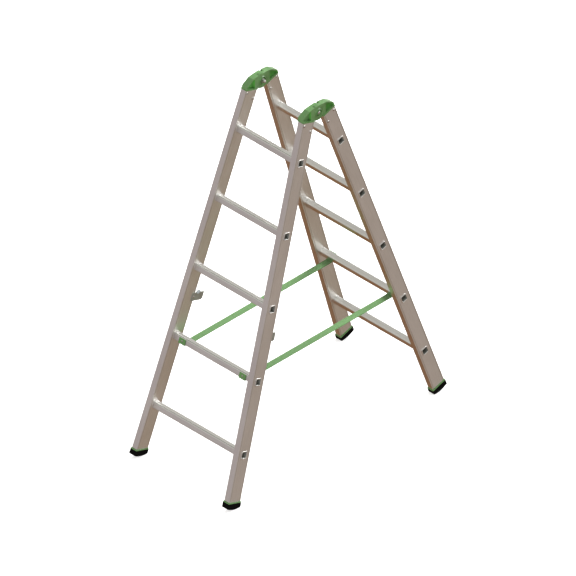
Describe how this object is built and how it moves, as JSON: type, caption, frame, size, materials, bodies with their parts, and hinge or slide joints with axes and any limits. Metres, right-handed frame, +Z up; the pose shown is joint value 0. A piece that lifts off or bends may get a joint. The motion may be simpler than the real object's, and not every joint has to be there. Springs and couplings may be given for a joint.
{
  "type": "double-sided step ladder",
  "caption": "Free-standing double-sided aluminium rung step ladder with moulded green hinges, rubber feet and webbing spreader straps, shown open.",
  "frame": {"origin": "on the ground, under the middle of the hinge axis", "axes": "+Z up; X along the rungs; Y fore and aft, the front frame on -Y and the rear frame on +Y"},
  "size_m": [0.4998, 1.106, 1.4604],
  "materials": {
    "stile_aluminium": "mill-finish extruded aluminium, satin, fine lengthwise draw lines",
    "rung_aluminium": "mill-finish extruded aluminium with a ribbed tread",
    "green_plastic": "satin injection-moulded plastic",
    "green_webbing": "woven polyester webbing",
    "black_rubber": "matt moulded rubber",
    "zinc_steel": "bright zinc-plated",
    "lug_plate": "dull grey plate",
    "pale_plastic": "pale translucent plastic"
  },
  "bodies": {
    "front_frame": {"front_foot_plug_left": "green_plastic", "front_foot_plug_right": "green_plastic", "front_foot_sole_left": "black_rubber", "front_foot_sole_right": "black_rubber", "front_hinge_left": "green_plastic", "front_hinge_right": "green_plastic", "front_hinge_rivet_left_1": "zinc_steel", "front_hinge_rivet_left_2": "zinc_steel", "front_hinge_rivet_right_1": "zinc_steel", "front_hinge_rivet_right_2": "zinc_steel", "front_rung_1": "rung_aluminium", "front_rung_2": "rung_aluminium", "front_rung_3": "rung_aluminium", "front_rung_4": "rung_aluminium", "front_rung_5": "rung_aluminium", "front_stile_left": "stile_aluminium", "front_stile_right": "stile_aluminium", "front_strap_clip_left": "green_plastic", "front_strap_clip_right": "green_plastic", "front_strap_screw_left": "zinc_steel", "front_strap_screw_right": "zinc_steel", "hinge_bolt_left": "zinc_steel", "hinge_bolt_right": "zinc_steel", "hinge_cap_nut_left": "zinc_steel", "hinge_cap_nut_right": "zinc_steel", "hinge_washer_left": "zinc_steel", "hinge_washer_right": "zinc_steel", "transport_lug_left": "lug_plate", "transport_lug_pad_left": "pale_plastic", "transport_lug_pad_right": "pale_plastic", "transport_lug_right": "lug_plate", "transport_lug_rivet_left": "zinc_steel", "transport_lug_rivet_right": "zinc_steel"},
    "rear_frame": {"rear_foot_plug_left": "green_plastic", "rear_foot_plug_right": "green_plastic", "rear_foot_sole_left": "black_rubber", "rear_foot_sole_right": "black_rubber", "rear_hinge_left": "green_plastic", "rear_hinge_right": "green_plastic", "rear_hinge_rivet_left_1": "zinc_steel", "rear_hinge_rivet_left_2": "zinc_steel", "rear_hinge_rivet_right_1": "zinc_steel", "rear_hinge_rivet_right_2": "zinc_steel", "rear_rung_1": "rung_aluminium", "rear_rung_2": "rung_aluminium", "rear_rung_3": "rung_aluminium", "rear_rung_4": "rung_aluminium", "rear_rung_5": "rung_aluminium", "rear_stile_left": "stile_aluminium", "rear_stile_right": "stile_aluminium", "rear_strap_clip_left": "green_plastic", "rear_strap_clip_right": "green_plastic", "rear_strap_screw_left": "zinc_steel", "rear_strap_screw_right": "zinc_steel"},
    "front_strap_left_half": {"front_strap_left": "green_webbing"},
    "front_strap_right_half": {"front_strap_right": "green_webbing"},
    "rear_strap_left_half": {"rear_strap_left": "green_webbing"},
    "rear_strap_right_half": {"rear_strap_right": "green_webbing"}
  },
  "joints": [
    {"name": "frame_fold", "type": "hinge", "parent": "front_frame", "child": "rear_frame", "pos_m": [0, 0, 1.43093], "axis": [-1, 0, 0], "range_deg": [0, 37]},
    {"name": "strap_fold_front_left", "type": "hinge", "parent": "front_frame", "child": "front_strap_left_half", "pos_m": [-0.152, -0.35918, 0.4498], "axis": [-1, 0, 0], "range_deg": [0, 104.4]},
    {"name": "strap_fold_front_right", "type": "hinge", "parent": "front_frame", "child": "front_strap_right_half", "pos_m": [0.152, -0.35918, 0.4498], "axis": [-1, 0, 0], "range_deg": [0, 104.4]},
    {"name": "strap_fold_rear_left", "type": "hinge", "parent": "rear_frame", "child": "rear_strap_left_half", "pos_m": [-0.152, 0.35918, 0.4498], "axis": [1, 0, 0], "range_deg": [0, 104.4], "deforming": ["rear_strap_left"]},
    {"name": "strap_fold_rear_right", "type": "hinge", "parent": "rear_frame", "child": "rear_strap_right_half", "pos_m": [0.152, 0.35918, 0.4498], "axis": [1, 0, 0], "range_deg": [0, 104.4], "deforming": ["rear_strap_right"]}
  ],
  "couplings": [
    {"joint": "strap_fold_front_left", "follows": "frame_fold", "ratio": 2.8124},
    {"joint": "strap_fold_front_right", "follows": "frame_fold", "ratio": 2.8124},
    {"joint": "strap_fold_rear_left", "follows": "frame_fold", "ratio": 2.8124},
    {"joint": "strap_fold_rear_right", "follows": "frame_fold", "ratio": 2.8124}
  ]
}
